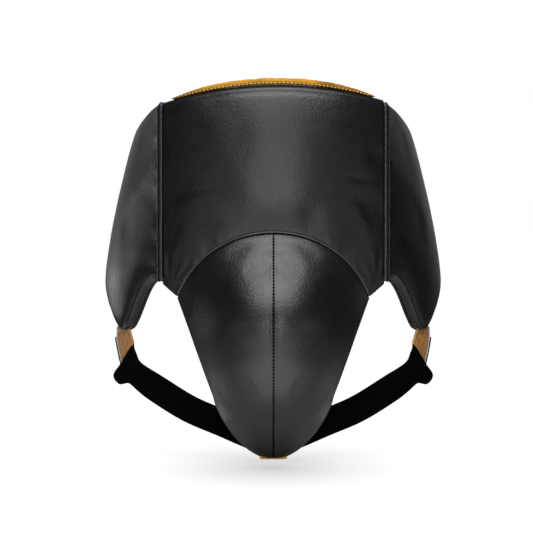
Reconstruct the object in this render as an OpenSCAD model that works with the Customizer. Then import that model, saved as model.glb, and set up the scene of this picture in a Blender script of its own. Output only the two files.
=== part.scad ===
// Groin protector with a padded front panel, two hip wings, a hard cup, leg straps and a waist belt.
// The front faces -Y and the wearer's left is +X. The origin is the middle of the waist.

/* [Front panel] */
// Width of the front panel between its two side seams
panel_w = 204; // [196:1:212]
// Height of the panel's top edge over the waist line, at the centre
panel_top = 85; // [80:1:92]
// Drop of the top edge from the centre to the side seams
panel_drop = 13; // [8:1:16]
// Distance of the side seams in front of the waist's middle
seam_front = 70; // [64:1:76]
// How far the middle of the panel stands in front of its seams
panel_bow = 32; // [26:1:38]
// How far the padding swells out of the panel's face
panel_crown = 7; // [4:0.5:9]
// Thickness where the panel is drawn in at its seams
edge_pad = 10; // [9:0.5:12]

/* [Cup] */
// Width of the cup at the two ends of its arched seam
cup_w = 171; // [164:1:176]
// Depth of the top of the arched seam below the waist line
arch_depth = 47; // [42:1:52]
// Height of the arched seam
arch_rise = 55; // [50:1:60]
// Depth of the cup's tip below the waist line
tip_depth = 248; // [242:1:254]
// How far the cup bulges in front of the panel
cup_bulge = 34; // [28:1:40]
// How far the tip curves back under the wearer
tip_back = 50; // [44:1:56]
// Thickness of the hard cup
shell_t = 2.6; // [2:0.2:3.2]
// Thickness of the padding outside the hard cup
cup_pad = 9; // [7:0.5:11]

/* [Hip wings] */
// Depth of a wing from its seam back to its rear edge
wing_len = 125; // [115:1:135]
// How far a wing flares out sideways at its widest
wing_flare = 56; // [50:1:60]
// Thickness of a wing along its edges
wing_edge = 14; // [12:0.5:16]
// How far the padding swells on each face of a wing
wing_crown = 4; // [2:0.5:5]
// Depth of the top of the leg cut below the waist line
leg_cut = 88; // [83:1:91]
// Drop of the wing's lobe below the top of the leg cut
lobe_drop = 45; // [39:1:49]

/* [Straps and belt] */
// Width of the leg straps and of the tabs that hold them
strap_w = 25; // [22:0.5:28]
// Thickness of the leg straps
strap_t = 2; // [1.6:0.1:2.4]
// Length of a strap tab
tab_len = 34; // [30:1:36]
// Thickness of the strap tabs and of the crotch tab
tab_t = 2.4; // [2:0.1:2.8]
// Height of the waist belt
belt_h = 60; // [50:1:66]
// Thickness of the waist belt
belt_t = 2.5; // [2:0.1:3]
// Angle by which each belt half stands open from its closed place
belt_open = 28; // [24:1:32]
// Length of the hook and loop patches
patch_len = 55; // [45:1:60]

/* [Materials] */
// Thickness of the outer leather
leather_t = 1.6; // [1.2:0.1:2]
// Thickness of the lining
lining_t = 1.4; // [1:0.1:1.8]
// Thickness of a hook or loop patch
patch_t = 1.2; // [1:0.1:1.6]
// Gap left between two pieces that lie against each other
fit = 0.3; // [0.2:0.05:0.4]

/* [Hidden] */

BLACK = [0.09, 0.09, 0.1];
GOLD = [0.83, 0.6, 0.16];
TAN = [0.66, 0.5, 0.27];
FOAM = [0.85, 0.83, 0.76];
STEEL = [0.7, 0.72, 0.74];

half = panel_w/2;
arch_end_z = -arch_depth - arch_rise;
cup_tip = -tip_depth;
cup_taper = 0.354;
cup_bend = 92;
cup_bend_z = arch_end_z - cup_bend;
cup_bend_half = cup_w/2 - cup_taper*cup_bend;
cup_peak = 0.382;
cup_roll = 17;
wing_top = panel_top - panel_drop;
wing_turn = 112;
lobe_start = 0.14;
lobe_t = 0.4;
lobe_round = 0.06;
rear_top = 30;
rear_low = -62;
flare_z = -90;
flare_slope = 0.21;
rear_gap = 0.4;
belt_z = -16;
belt_back = 85;
belt_sweep = 104;
welt_r = 1.7;
arch_share = 0.86;

function mix(a, b, s) = a + (b - a)*s;
function unit(p) = p/norm(p);
// Steps from 0 to 1 that lie closer together at both ends
function eased(n) = [for (i = [0:n]) (1 - cos(180*i/n))/2];
function even(n) = [for (i = [0:n]) i/n];
// Swell of a cushion, from 0 at its ends to 1 in the middle
function swell(a) = 1 - pow(abs(2*a - 1), 3);

// Front panel: q runs from the right seam (-1) to the left one (1), v from the lower edge to the top
function bow_y(x) = -seam_front - panel_bow*(1 - pow(x/half, 2));
function cup_half(z, d) =
    z > cup_bend_z
        ? cup_w/2 + cup_taper*(z - arch_end_z) - d
        : (cup_bend_half - d)*pow(1 - pow((cup_bend_z - z)/(cup_bend_z - cup_tip - d), 1.3), 0.52);
function arch_z(u) = -arch_depth - arch_rise*u*u;
function arch_x(u) = u*cup_half(arch_z(u), 0);
function panel_low(q) =
    let (past = (abs(q) - arch_share)/(1 - arch_share))
    past <= 0
        ? [arch_x(q/arch_share), arch_z(q/arch_share) + 2*fit]
        : [sign(q)*mix(cup_w/2, half, past), mix(arch_end_z + 2*fit, -leg_cut, past)];
function panel_high(q) = [half*q, panel_top - panel_drop*q*q];
function panel_side(q) = 0.2*sign(q)*pow(abs(q), 8);
// Direction into the pad, tilted by lean toward the seams so that the wings have room beside it
function panel_inward(x, lean) = unit([-2*panel_bow*x/(half*half) - lean, 1]);
function panel_pt(q, v, d) =
    let (
        low = panel_low(q),
        high = panel_high(q),
        x = mix(low.x, high.x, v),
        inward = panel_inward(x, panel_side(q))
    )
    [x + d*inward.x, bow_y(x) + d*inward.y, mix(low.y, high.y, v)];
function panel_swell(q, v) = swell((q + 1)/2)*swell(v);
function panel_out(q, v) = -panel_crown*panel_swell(q, v);
function panel_in(q, v) = edge_pad + panel_crown*panel_swell(q, v);
panel_qs = [for (s = eased(16)) 2*s - 1];
panel_vs = eased(9);

// Cup: u runs from the right rim (-1) to the left one (1), v from the arched seam down to the tip
function cup_rise(v) =
    cup_bulge*(v < cup_peak ? sin(90*v/cup_peak) : 1 - pow((v - cup_peak)/(1 - cup_peak), 2.2)) + cup_roll*v;
function cup_round(u) = pow(1 - u*u, 0.85);
// The wall's thickness follows the panel's at the arched seam and turns sideways below it, at the rim
function cup_turn(v) = min(1, v/0.12);
function cup_pt(u, v, d) =
    let (
        turn = cup_turn(v),
        z = mix(arch_z(u) - fit, cup_tip + d + 1, v),
        x = u*cup_half(z, d*turn),
        sunk = d*mix(panel_inward(x, 0), [0, cup_round(u)], turn)
    )
    [x + sunk.x, bow_y(x) + tip_back*pow(v, 3.5) - cup_rise(v)*cup_round(u) + sunk.y, z];
cup_vs = [for (s = eased(14)) 1 - s];
cup_us = [for (i = [0:14]) mix(i/7 - 1, -cos(180*i/14), 0.55)];
foam_d = leather_t + fit;
shell_d = foam_d + cup_pad + fit;
inside_d = shell_d + shell_t + fit;

// Wing on the wearer's left: t runs from the seam back to the rear edge, v from the lower edge to the top
function flare(z) = wing_flare - flare_slope*max(0, z - flare_z);
function wing_low(t) =
    let (
        fall = min(1, max(0, t - lobe_start)/(lobe_t - lobe_start)),
        back = max(0, t - lobe_t)/(1 - lobe_t),
        rise = sqrt(back*back + lobe_round*lobe_round) - lobe_round
    )
    mix(
        -leg_cut - lobe_drop*pow((1 - cos(180*fall))/2, 1.2),
        rear_low,
        rise/(sqrt(1 + lobe_round*lobe_round) - lobe_round)
    );
function wing_high(t) = mix(wing_top, rear_top, pow(t, 1.6));
function wing_x(t, z) = half + flare(z)*sin(wing_turn*t);
function wing_y(t) = -seam_front + wing_len*t;
function wing_inward(t, z) =
    let (
        run = flare(z)*wing_turn*PI/180*cos(wing_turn*t),
        square = unit([-wing_len, run]),
        mitre = [cos(112), sin(112)]
    )
    unit(mix(square, mitre, pow(1 - t, 9)));
function wing_at(t, z, d) =
    let (inward = wing_inward(t, z))
    [wing_x(t, z) + d*inward.x, wing_y(t) + d*inward.y, z];
function wing_pt(t, v, d) = wing_at(t, mix(wing_low(t), wing_high(t), v), d);
function wing_swell(t, v) = swell(t)*swell(v);
function wing_out(t, v) = -wing_crown*wing_swell(t, v);
function wing_in(t, v) = wing_edge + wing_crown*wing_swell(t, v);
wing_ts = [for (s = eased(14)) mix(0.004, 1 - rear_gap/wing_len, s)];
wing_vs = eased(8);

// Rear edge of the left wing, which is the line that the left belt half swings about
rear_run = sin(wing_turn);
belt_axis = unit([-flare_slope*rear_run, 0, 1]);
belt_root = [wing_x(1, belt_z) - belt_t/2, wing_y(1), belt_z];
// Belt: s runs from the wing's rear edge to the belt's end, h over its height
function belt_pt(s, h, d, step) =
    let (
        turn = belt_sweep*s,
        rise = (h - 0.5)*belt_h,
        lean = -flare_slope*rear_run*rise*pow(1 - s, 2),
        inward = -unit([cos(turn)*belt_back, sin(turn)*belt_root.x]),
        out = step*(1 - cos(180*min(1, max(0, s - 0.35)/0.3)))/2 - d
    )
    [
        belt_root.x*cos(turn) + lean - out*inward.x,
        belt_root.y + belt_back*sin(turn) - out*inward.y,
        belt_z + rise
    ];
belt_step = belt_t + 2*patch_t + 4*fit;
belt_ss = [0.001, 0.012, for (i = [1:20]) i/20];
belt_hs = even(3);
belt_arc = belt_root.x*PI/180*belt_sweep;
patch_ss = [for (s = even(8)) mix(0.975 - patch_len/belt_arc, 0.975, s)];
patch_hs = [0.08, 0.5, 0.92];
function belt_half_t(s) = belt_t/2*min(1, 0.2 + s*80);

// Tab under the left wing's lobe, and the strap's route from it to the crotch tab
tab_top = -leg_cut - lobe_drop - leather_t - 3*fit;
tab_twist = 6;
tab_mid = wing_at(lobe_t, -leg_cut - lobe_drop, 0.5*wing_edge);
tab_turn = atan2(-wing_inward(lobe_t, tab_top).x, wing_inward(lobe_t, tab_top).y) - tab_twist;
tab_out = [sin(tab_turn), -cos(tab_turn), 0];
tab_along = [cos(tab_turn), sin(tab_turn), 0];
strap_seat = tab_t/2 + fit + strap_t/2;
crotch_y = -42;
crotch_reach = 20;
crotch_back = crotch_y + tab_t + fit + strap_t/2;
crotch_mid = cup_tip + 14;
tab_end = [tab_mid.x, tab_mid.y, tab_top] + strap_seat*tab_out;
strap_route = [
    tab_end - [0, 0, 26],
    tab_end - 10*tab_along - [0, 0, 33],
    tab_end - 22*tab_along + 0.5*tab_out - [0, 0, 41],
    [103, -41, -191],
    [76, -40, -207.5],
    [46, -38, -220.5],
    [24, crotch_back, crotch_mid + 4],
    [12, crotch_back, crotch_mid],
    [0.6, crotch_back, crotch_mid]
];
strap_lean = [0, 0, 0.83] - 0.56*tab_along;
strap_across = [
    strap_lean, strap_lean, strap_lean, [-0.5, 0, 0.87], [-0.46, 0, 0.89],
    [-0.4, 0, 0.92], [-0.25, 0, 0.97], [0, 0, 1], [0, 0, 1]
];
strap_steps = 3;
// The strap fans out where its end is doubled over at the tab
function strap_wide(k) = strap_w*(1 + 0.4*pow(max(0, 1 - k/2.5), 1.5));

// Point at step k of a smooth curve through a list of points
function through(list, k) =
    let (
        last = len(list) - 1,
        i = min(floor(k), last - 1),
        f = k - i,
        a = list[max(i - 1, 0)],
        b = list[i],
        c = list[i + 1],
        e = list[min(i + 2, last)]
    )
    b + f*(c - a + f*(2*a - 5*b + 4*c - e + f*(3*(b - c) + e - a)))/2;
function strap_pt(k, w, d) =
    let (
        step = 0.05,
        last = len(strap_route) - 1,
        here = through(strap_route, k),
        ahead = through(strap_route, min(last, k + step)) - through(strap_route, max(0, k - step)),
        along = unit(ahead),
        loose = through(strap_across, k),
        across = unit(loose - (loose*along)*along),
        face = cross(along, across)
    )
    here + (w - 0.5)*strap_wide(k)*across + d*face;

// Closed layer between two depths of a surface. Seen from its near side, u runs right and v up.
module layer(place, us, vs, near, far) {
    nv = len(vs);
    count = len(us)*nv;
    function at(i, j) = i*nv + j;
    points = [
        for (u = us) for (v = vs) place(u, v, near(u, v)),
        for (u = us) for (v = vs) place(u, v, far(u, v))
    ];
    face = [
        for (i = [0:len(us) - 2]) for (j = [0:nv - 2]) each [
            [at(i, j), at(i + 1, j + 1), at(i + 1, j)],
            [at(i, j), at(i, j + 1), at(i + 1, j + 1)]
        ]
    ];
    back = [for (f = face) [f[0] + count, f[2] + count, f[1] + count]];
    rim = [
        for (i = [0:len(us) - 2]) at(i, 0),
        for (j = [0:nv - 2]) at(len(us) - 1, j),
        for (i = [len(us) - 1:-1:1]) at(i, nv - 1),
        for (j = [nv - 1:-1:1]) at(0, j)
    ];
    wall = [
        for (k = [0:len(rim) - 1])
            let (a = rim[k], b = rim[(k + 1) % len(rim)])
            each [[a, b, a + count], [b, b + count, a + count]]
    ];
    polyhedron(points, concat(face, back, wall));
}

// Roll along a row of centres, each with its two half axes
module roll(centres, wide, tall, sides) {
    rows = len(centres);
    points = [
        for (k = [0:rows - 1]) for (i = [0:sides - 1])
            centres[k] + wide[k]*cos(360*i/sides) + tall[k]*sin(360*i/sides)
    ];
    function at(k, i) = k*sides + i % sides;
    skin = [
        for (k = [0:rows - 2]) for (i = [0:sides - 1]) each [
            [at(k, i), at(k + 1, i + 1), at(k, i + 1)],
            [at(k, i), at(k + 1, i), at(k + 1, i + 1)]
        ]
    ];
    ends = [
        for (i = [1:sides - 2]) each [
            [at(0, 0), at(0, i), at(0, i + 1)],
            [at(rows - 1, 0), at(rows - 1, i + 1), at(rows - 1, i)]
        ]
    ];
    polyhedron(points, concat(skin, ends));
}

module on_right() {
    mirror([1, 0, 0]) children();
}

module panel_layer(near, far) {
    layer(function(q, v, d) panel_pt(q, v, d), panel_qs, panel_vs, near, far);
}

module belly_cover() {
    color(BLACK) panel_layer(
        function(q, v) panel_out(q, v),
        function(q, v) panel_out(q, v) + leather_t
    );
}

module belly_foam() {
    color(FOAM) panel_layer(
        function(q, v) panel_out(q, v) + leather_t + fit,
        function(q, v) panel_in(q, v) - lining_t - fit
    );
}

module belly_lining() {
    color(GOLD) panel_layer(
        function(q, v) panel_in(q, v) - lining_t,
        function(q, v) panel_in(q, v)
    );
}

// Gold roll that closes the panel's top edge and thins out toward the seams
module top_binding() {
    qs = [for (s = eased(20)) mix(-0.9, 0.9, s)];
    tall = [for (q = qs) mix(0.8, 3.2, 1 - pow(q/0.9, 4))];
    color(GOLD) roll(
        [for (k = [0:len(qs) - 1]) panel_pt(qs[k], 1, edge_pad/2) + [0, 0, tall[k] + fit]],
        [for (q = qs) (panel_pt(q, 1, edge_pad/2) - panel_pt(q, 1, 0))*0.96],
        [for (h = tall) [0, 0, h]],
        10
    );
}

module side_welt() {
    centre = [half, -seam_front] + 2.8*[cos(282), sin(282)];
    heights = [for (s = even(10)) mix(-leg_cut + 4, wing_top + 1, s)];
    color(BLACK) roll(
        [for (z = heights) [centre.x, centre.y, z]],
        [for (z = heights) [welt_r, 0, 0]],
        [for (z = heights) [0, welt_r, 0]],
        8
    );
}

module left_side_welt() {
    side_welt();
}

module right_side_welt() {
    on_right() side_welt();
}

// Folded lip over the seam between the panel and the cup
module arch_welt() {
    us = [for (s = eased(24)) mix(-0.97, 0.97, s)];
    seam = [for (u = us) [arch_x(u), bow_y(arch_x(u)), arch_z(u)]];
    last = len(us) - 1;
    run = [for (k = [0:last]) unit(seam[min(k + 1, last)] - seam[max(k - 1, 0)])];
    out = [for (r = run) unit(cross(r, [0, 0, 1]) + [0, -0.5, 0])];
    color(BLACK) roll(
        [for (k = [0:last]) seam[k] + (welt_r + 3*fit)*[0, -1, 0.55]],
        [for (k = [0:last]) welt_r*unit(cross(out[k], run[k]))],
        [for (k = [0:last]) welt_r*out[k]],
        8
    );
}

module cup_layer(us, near, far) {
    layer(
        function(u, v, d) cup_pt(u, v, d),
        us,
        cup_vs,
        function(u, v) near,
        function(u, v) far
    );
}

// Left half of the cup's leather, up to the centre seam
module cup_half_cover() {
    cup_layer([fit/cup_w, for (u = cup_us) if (u > fit/cup_w) u], 0, leather_t);
}

module cup_cover_left() {
    color(BLACK) cup_half_cover();
}

module cup_cover_right() {
    color(BLACK) on_right() cup_half_cover();
}

module cup_foam() {
    color(FOAM) cup_layer(cup_us, foam_d, foam_d + cup_pad);
}

module cup_shell() {
    color(STEEL) cup_layer(cup_us, shell_d, shell_d + shell_t);
}

module cup_lining() {
    color(GOLD) cup_layer(cup_us, inside_d, inside_d + lining_t);
}

// Leather tab under the cup's tip, turned up behind it to hold both leg straps
module crotch_tab() {
    under = cup_tip + 1 - fit;
    front = crotch_y - crotch_reach;
    rise = under + strap_w + 4;
    color(GOLD)
        rotate([90, 0, 90])
        linear_extrude(strap_w, center = true)
        polygon([
            [front, under], [crotch_y, under], [crotch_y, rise], [crotch_y + tab_t, rise],
            [crotch_y + tab_t, under - tab_t], [front, under - tab_t]
        ]);
}

module wing_layer(near, far) {
    layer(function(t, v, d) wing_pt(t, v, d), wing_ts, wing_vs, near, far);
}

module wing_cover() {
    color(BLACK) wing_layer(
        function(t, v) wing_out(t, v),
        function(t, v) wing_out(t, v) + leather_t
    );
}

module wing_foam() {
    color(FOAM) wing_layer(
        function(t, v) wing_out(t, v) + leather_t + fit,
        function(t, v) wing_in(t, v) - lining_t - fit
    );
}

module wing_lining() {
    color(GOLD) wing_layer(
        function(t, v) wing_in(t, v) - lining_t,
        function(t, v) wing_in(t, v)
    );
}

// Leather wall that closes the wing's lower edge
module wing_gusset() {
    color(BLACK) layer(
        function(t, w, d) wing_at(t, wing_low(t) - 3*fit, mix(wing_edge, 0, w)) - [0, 0, d],
        wing_ts,
        even(2),
        function(t, w) leather_t,
        function(t, w) 0
    );
}

module strap_tab() {
    color(TAN)
        translate([tab_mid.x, tab_mid.y, tab_top - tab_len/2])
        rotate([0, 0, tab_turn])
        cube([strap_w, tab_t, tab_len], center = true);
}

module leg_strap() {
    last = len(strap_route) - 1;
    color(BLACK) layer(
        function(k, w, d) strap_pt(k, w, d),
        [for (k = [0:last*strap_steps]) k/strap_steps],
        even(2),
        function(k, w) strap_t/2,
        function(k, w) -strap_t/2
    );
}

// Turns a belt piece from its closed place about the wing's rear edge
module swung_open() {
    translate(belt_root) rotate(-belt_open, belt_axis) translate(-belt_root) children();
}

module belt_half(step) {
    swung_open() layer(
        function(s, h, d) belt_pt(s, h, d, step),
        belt_ss,
        belt_hs,
        function(s, h) -belt_half_t(s),
        function(s, h) belt_half_t(s)
    );
}

module patch(step, near) {
    swung_open() layer(
        function(s, h, d) belt_pt(s, h, d, step),
        patch_ss,
        patch_hs,
        function(s, h) near,
        function(s, h) near + patch_t
    );
}

module left_wing_cover() {
    wing_cover();
}

module left_wing_foam() {
    wing_foam();
}

module left_wing_lining() {
    wing_lining();
}

module left_wing_gusset() {
    wing_gusset();
}

module left_strap_tab() {
    strap_tab();
}

module left_leg_strap() {
    leg_strap();
}

module right_wing_cover() {
    on_right() wing_cover();
}

module right_wing_foam() {
    on_right() wing_foam();
}

module right_wing_lining() {
    on_right() wing_lining();
}

module right_wing_gusset() {
    on_right() wing_gusset();
}

module right_strap_tab() {
    on_right() strap_tab();
}

module right_leg_strap() {
    on_right() leg_strap();
}

// The left half ends outside the right one when the belt is closed
module left_belt() {
    color(BLACK) belt_half(belt_step);
}

module hook_patch() {
    color(BLACK) patch(belt_step, belt_t/2 + fit);
}

module right_belt() {
    color(BLACK) on_right() belt_half(0);
}

module loop_patch() {
    color(BLACK) on_right() patch(0, -belt_t/2 - fit - patch_t);
}

belly_cover();
belly_foam();
belly_lining();
top_binding();
left_side_welt();
right_side_welt();
arch_welt();
cup_cover_left();
cup_cover_right();
cup_foam();
cup_shell();
cup_lining();
crotch_tab();
left_wing_cover();
left_wing_foam();
left_wing_lining();
left_wing_gusset();
left_strap_tab();
right_wing_cover();
right_wing_foam();
right_wing_lining();
right_wing_gusset();
right_strap_tab();
left_leg_strap();
right_leg_strap();
left_belt();
hook_patch();
right_belt();
loop_patch();
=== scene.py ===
import math

import bpy
import numpy as np
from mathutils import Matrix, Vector


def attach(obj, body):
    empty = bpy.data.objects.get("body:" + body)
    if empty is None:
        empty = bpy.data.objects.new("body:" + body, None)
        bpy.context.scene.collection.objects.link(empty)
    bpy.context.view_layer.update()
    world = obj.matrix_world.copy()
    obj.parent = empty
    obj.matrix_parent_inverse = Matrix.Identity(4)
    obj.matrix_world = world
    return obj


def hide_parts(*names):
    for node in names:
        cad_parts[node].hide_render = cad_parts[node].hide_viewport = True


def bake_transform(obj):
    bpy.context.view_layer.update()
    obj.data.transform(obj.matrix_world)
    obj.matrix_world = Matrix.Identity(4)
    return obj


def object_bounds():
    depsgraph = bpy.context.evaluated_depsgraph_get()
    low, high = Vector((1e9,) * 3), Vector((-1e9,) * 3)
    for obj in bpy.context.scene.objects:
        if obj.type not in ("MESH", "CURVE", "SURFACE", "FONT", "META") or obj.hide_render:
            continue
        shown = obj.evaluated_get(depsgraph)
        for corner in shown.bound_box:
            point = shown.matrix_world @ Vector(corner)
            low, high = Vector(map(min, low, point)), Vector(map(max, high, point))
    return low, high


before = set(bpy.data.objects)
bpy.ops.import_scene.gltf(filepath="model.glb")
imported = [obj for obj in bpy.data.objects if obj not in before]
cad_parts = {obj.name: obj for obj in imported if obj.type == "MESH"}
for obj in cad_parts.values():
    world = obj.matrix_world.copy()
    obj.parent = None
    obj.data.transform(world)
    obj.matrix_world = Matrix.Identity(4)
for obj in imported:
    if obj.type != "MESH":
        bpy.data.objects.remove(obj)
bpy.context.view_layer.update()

# Lengths in millimetres, as in the solid part
HALF, TOP, DROP, SEAM_Y = 102.0, 85.0, 13.0, -70.0
BOW, CROWN = 32.0, 7.0
CUP_W, ARCH_DEPTH, ARCH_RISE, TIP = 171.0, 47.0, 55.0, -248.0
BULGE, TIP_BACK, ROLL = 34.0, 50.0, 17.0
TAPER, BEND_DROP, ARCH_SHARE, CUP_PEAK = 0.354, 92.0, 0.86, 0.382
WING_LEN, FLARE, WING_EDGE, WING_CROWN = 125.0, 56.0, 14.0, 4.0
LEG_CUT, LOBE_DROP, LOBE_LEAD, LOBE_T, TURN = 88.0, 45.0, 0.06, 0.40, math.radians(112)
REAR_TOP, REAR_LOW, FLARE_Z, FLARE_SLOPE = 30.0, -62.0, -90.0, 0.21
FIT, TOP_SKEW = 0.3, 1.2
ARCH_END = -ARCH_DEPTH - ARCH_RISE
BEND_Z = ARCH_END - BEND_DROP
BEND_HALF = CUP_W / 2 - TAPER * BEND_DROP
WING_TOP = TOP - DROP
SIDES = {"left": 1.0, "right": -1.0}

# Where the leather is fuller or finer than the solid part
RIM, APEX, TIP_DROP = 1.03, 4.0, 4.2
LOBE_ROUND = 0.14
LEAN, LEAN_TALL, LEAN_END, LEAN_FADE = 6.5, 30.0, 0.38, 0.14

# Depths through the pads, from the leather's outer face
BELLY_EDGE, BELLY_BACK = 4.5, 3.8
WING_MID, WING_BACK, HEM_DIP = 7.0, 5.3, 2.2
CUP_EDGE, CUP_FOAM, CUP_LINED, CUP_PITCH = 5.0, 10.6, 14.6, 3.1
LINING_GAP, LINING_T, GUSSET_IN, GUSSET_T = 0.2, 1.3, 1.6, 1.4
SLACK = {"belly": 0.8, "wing": 1.0, "cup": 0.35}
WING_START, WING_SPAN = 0.004, 0.9928


# Small helpers on arrays

def mix(a, b, s):
    return a + (b - a) * s


def swell(a):
    return 1 - np.abs(2 * a - 1) ** 3


def edge_round(e, r):
    """0 at an edge, rising on a quarter circle to 1 at r millimetres from it"""
    return np.sqrt(np.clip(1 - (1 - np.clip(e / r, 0, 1)) ** 2, 0, 1))


def bump(x, centre, width):
    return np.exp(-((x - centre) / width) ** 2)


def unit(v):
    return v / np.maximum(np.linalg.norm(v, axis=-1, keepdims=True), 1e-9)


def stack(*parts):
    return np.stack(np.broadcast_arrays(*parts), axis=-1)


def wander(x, y, size, seed):
    """A smooth, fixed, random-looking relief of about -1 to 1"""
    rng = np.random.default_rng(seed)
    total = 0.0
    for _ in range(7):
        a = rng.uniform(0, 2 * math.pi)
        k = 2 * math.pi / (size * rng.uniform(0.7, 1.6))
        total = total + np.sin(k * (x * math.cos(a) + y * math.sin(a)) + rng.uniform(0, 6.28))
    return total / 4


def steps(length, edge, fine, coarse):
    """Parameters 0 to 1 along a length in millimetres, close together near both ends"""
    near = np.linspace(0, edge, fine + 1)[:-1]
    inner = np.linspace(edge, length - edge, max(3, int(round((length - 2 * edge) / coarse))))
    return np.concatenate([near, inner, (length - near)[::-1]]) / length


# Forms shared with the solid part

def bow_y(x):
    return SEAM_Y - BOW * (1 - (x / HALF) ** 2)


def cup_half(z, d=0.0):
    below = np.clip((BEND_Z - z) / (BEND_Z - TIP - d), 0, 1)
    curved = (BEND_HALF - d) * (1 - below ** 1.3) ** 0.52
    return np.where(z > BEND_Z, CUP_W / 2 + TAPER * (z - ARCH_END) - d, curved)


def arch_z(u):
    return -ARCH_DEPTH - ARCH_RISE * u * u


def arch_x(u):
    return u * cup_half(arch_z(u))


def panel_inward(x, lean):
    return unit(stack(-2 * BOW * x / HALF ** 2 - lean, 1.0 + 0 * x))


def panel_pt(q, v, d):
    u = RIM * np.clip(q / ARCH_SHARE, -1, 1)
    past = np.clip((np.abs(q) - ARCH_SHARE) / (1 - ARCH_SHARE), 0, 1)
    low_x = np.where(past > 0, np.sign(q) * mix(arch_x(RIM), HALF, past), arch_x(u))
    low_z = np.where(past > 0, mix(arch_z(RIM) + 2 * FIT, -LEG_CUT - APEX, past), arch_z(u) + 2 * FIT)
    x = mix(low_x, HALF * q, v)
    z = mix(low_z, TOP - DROP * q * q + TOP_SKEW * q, v)
    n = panel_inward(x, 0.2 * np.sign(q) * np.abs(q) ** 8)
    return stack(x + d * n[..., 0], bow_y(x) + d * n[..., 1], z)


def cup_rise(v):
    near = np.clip(v / CUP_PEAK, 0, 1)
    up = 1.18 * near + 0.0933 * near ** 2 - 0.2733 * near ** 5
    down = 1 - np.clip((v - CUP_PEAK) / (1 - CUP_PEAK), 0, 1) ** 2.2
    return BULGE * np.where(v < CUP_PEAK, up, down) + ROLL * v


def cup_round(u, v):
    """Fullness of the cup across its width: flatter under the arch, a ridge at the peak"""
    ridge = swell(np.clip(v / 0.38, 0, 1) / 2)
    nose = swell(np.clip((v - 0.4) / 0.4, 0, 1) / 2)
    section = mix(2.2, 2.0, swell(np.clip(v - 0.4, 0, 0.5)))
    return np.clip(1 - np.abs(u) ** section, 0, 1) ** (mix(0.66, 0.98, ridge) - 0.06 * nose)


def cup_pt(u, v, d):
    turn = np.clip(v / 0.12, 0, 1)
    z = mix(arch_z(u) - FIT, TIP + d + 1, v)
    x = u * cup_half(z, d * turn)
    full = cup_round(u, v)
    n = panel_inward(x, 0.0)
    sx = d * mix(n[..., 0], 0.0, turn)
    sy = d * mix(n[..., 1], full, turn)
    return stack(x + sx, bow_y(x) + TIP_BACK * v ** 3.5 - cup_rise(v) * full + sy, z - TIP_DROP * v ** 3)


def flare(z):
    over = np.asarray(z) - FLARE_Z
    return FLARE - FLARE_SLOPE * (over + np.hypot(over, 16)) / 2


def wing_low(t):
    fall = np.clip((t - LOBE_LEAD) / (LOBE_T - LOBE_LEAD), 0, 1)
    back = np.clip((t - LOBE_T) / (1 - LOBE_T), 0, 1)
    rise = np.hypot(back, LOBE_ROUND) - LOBE_ROUND
    lobe = -LEG_CUT - LOBE_DROP * ((1 - np.cos(math.pi * fall)) / 2) ** 1.2
    lobe = lobe - APEX * np.clip(1 - t / 0.09, 0, 1) ** 2
    return mix(lobe, REAR_LOW, rise / (math.hypot(1, LOBE_ROUND) - LOBE_ROUND))


def wing_high(t):
    return mix(WING_TOP, REAR_TOP, np.clip(t, 0, 1) ** 1.6)


def wing_inward(t, z):
    along = unit(stack(-WING_LEN + 0 * t, flare(z) * TURN * np.cos(TURN * t)))
    first = np.array([math.cos(TURN), math.sin(TURN)])
    return unit(mix(along, first, ((1 - np.clip(t, 0, 1)) ** 9)[..., None]))


def wing_lean(t, z, d):
    """Rise of the front's lower edge round the leg cut, which leans the gusset forward"""
    near = np.clip(1 - (z - wing_low(t)) / LEAN_TALL, 0, 1) ** 2
    share = np.clip((LEAN_END - t) / LEAN_FADE, 0, 1)
    return LEAN * near * share ** 2 * (3 - 2 * share) * np.clip(1 - d / WING_EDGE, 0, 1)


def wing_at(t, z, d):
    n = wing_inward(t, z)
    x = HALF + flare(z) * np.sin(TURN * t) + d * n[..., 0]
    return stack(x, SEAM_Y + WING_LEN * t + d * n[..., 1], z + wing_lean(t, z, d))


def wing_pt(t, v, d):
    return wing_at(t, mix(wing_low(t), wing_high(t), v), d)


# Meshes

def grid_faces(ids, flip=False):
    a, b, c, d = ids[:-1, :-1], ids[1:, :-1], ids[1:, 1:], ids[:-1, 1:]
    quads = np.stack([a, b, c, d], axis=-1).reshape(-1, 4)
    return quads[:, ::-1] if flip else quads


def pad_mesh(front, back, flip=False):
    """A closed pad from two grids of points that share their border"""
    n, m = front.shape[:2]
    ids = np.arange(n * m).reshape(n, m)
    behind = ids.copy()
    behind[1:-1, 1:-1] = n * m + np.arange((n - 2) * (m - 2)).reshape(n - 2, m - 2)
    verts = np.concatenate([front.reshape(-1, 3), back[1:-1, 1:-1].reshape(-1, 3)])
    return verts, np.concatenate([grid_faces(ids, flip), grid_faces(behind, not flip)]).tolist()


def tube_mesh(rings, flip=False):
    """A closed tube through rings of points"""
    k, n = rings.shape[:2]
    ids = np.arange(k * n).reshape(k, n)
    faces = grid_faces(np.concatenate([ids, ids[:, :1]], axis=1), flip).tolist()
    first, last = ids[0].tolist(), ids[-1].tolist()
    faces += [last if flip else last[::-1], first[::-1] if flip else first]
    return rings.reshape(-1, 3), [f[::-1] for f in faces]


def join(meshes):
    verts, faces, start = [], [], 0
    for v, f in meshes:
        verts.append(v)
        faces += [[i + start for i in face] for face in f]
        start += len(v)
    return np.concatenate(verts), faces


def mirror(mesh, side):
    verts, faces = mesh
    if side > 0:
        return verts, faces
    return verts * np.array([-1.0, 1.0, 1.0]), [list(f)[::-1] for f in faces]


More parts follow.
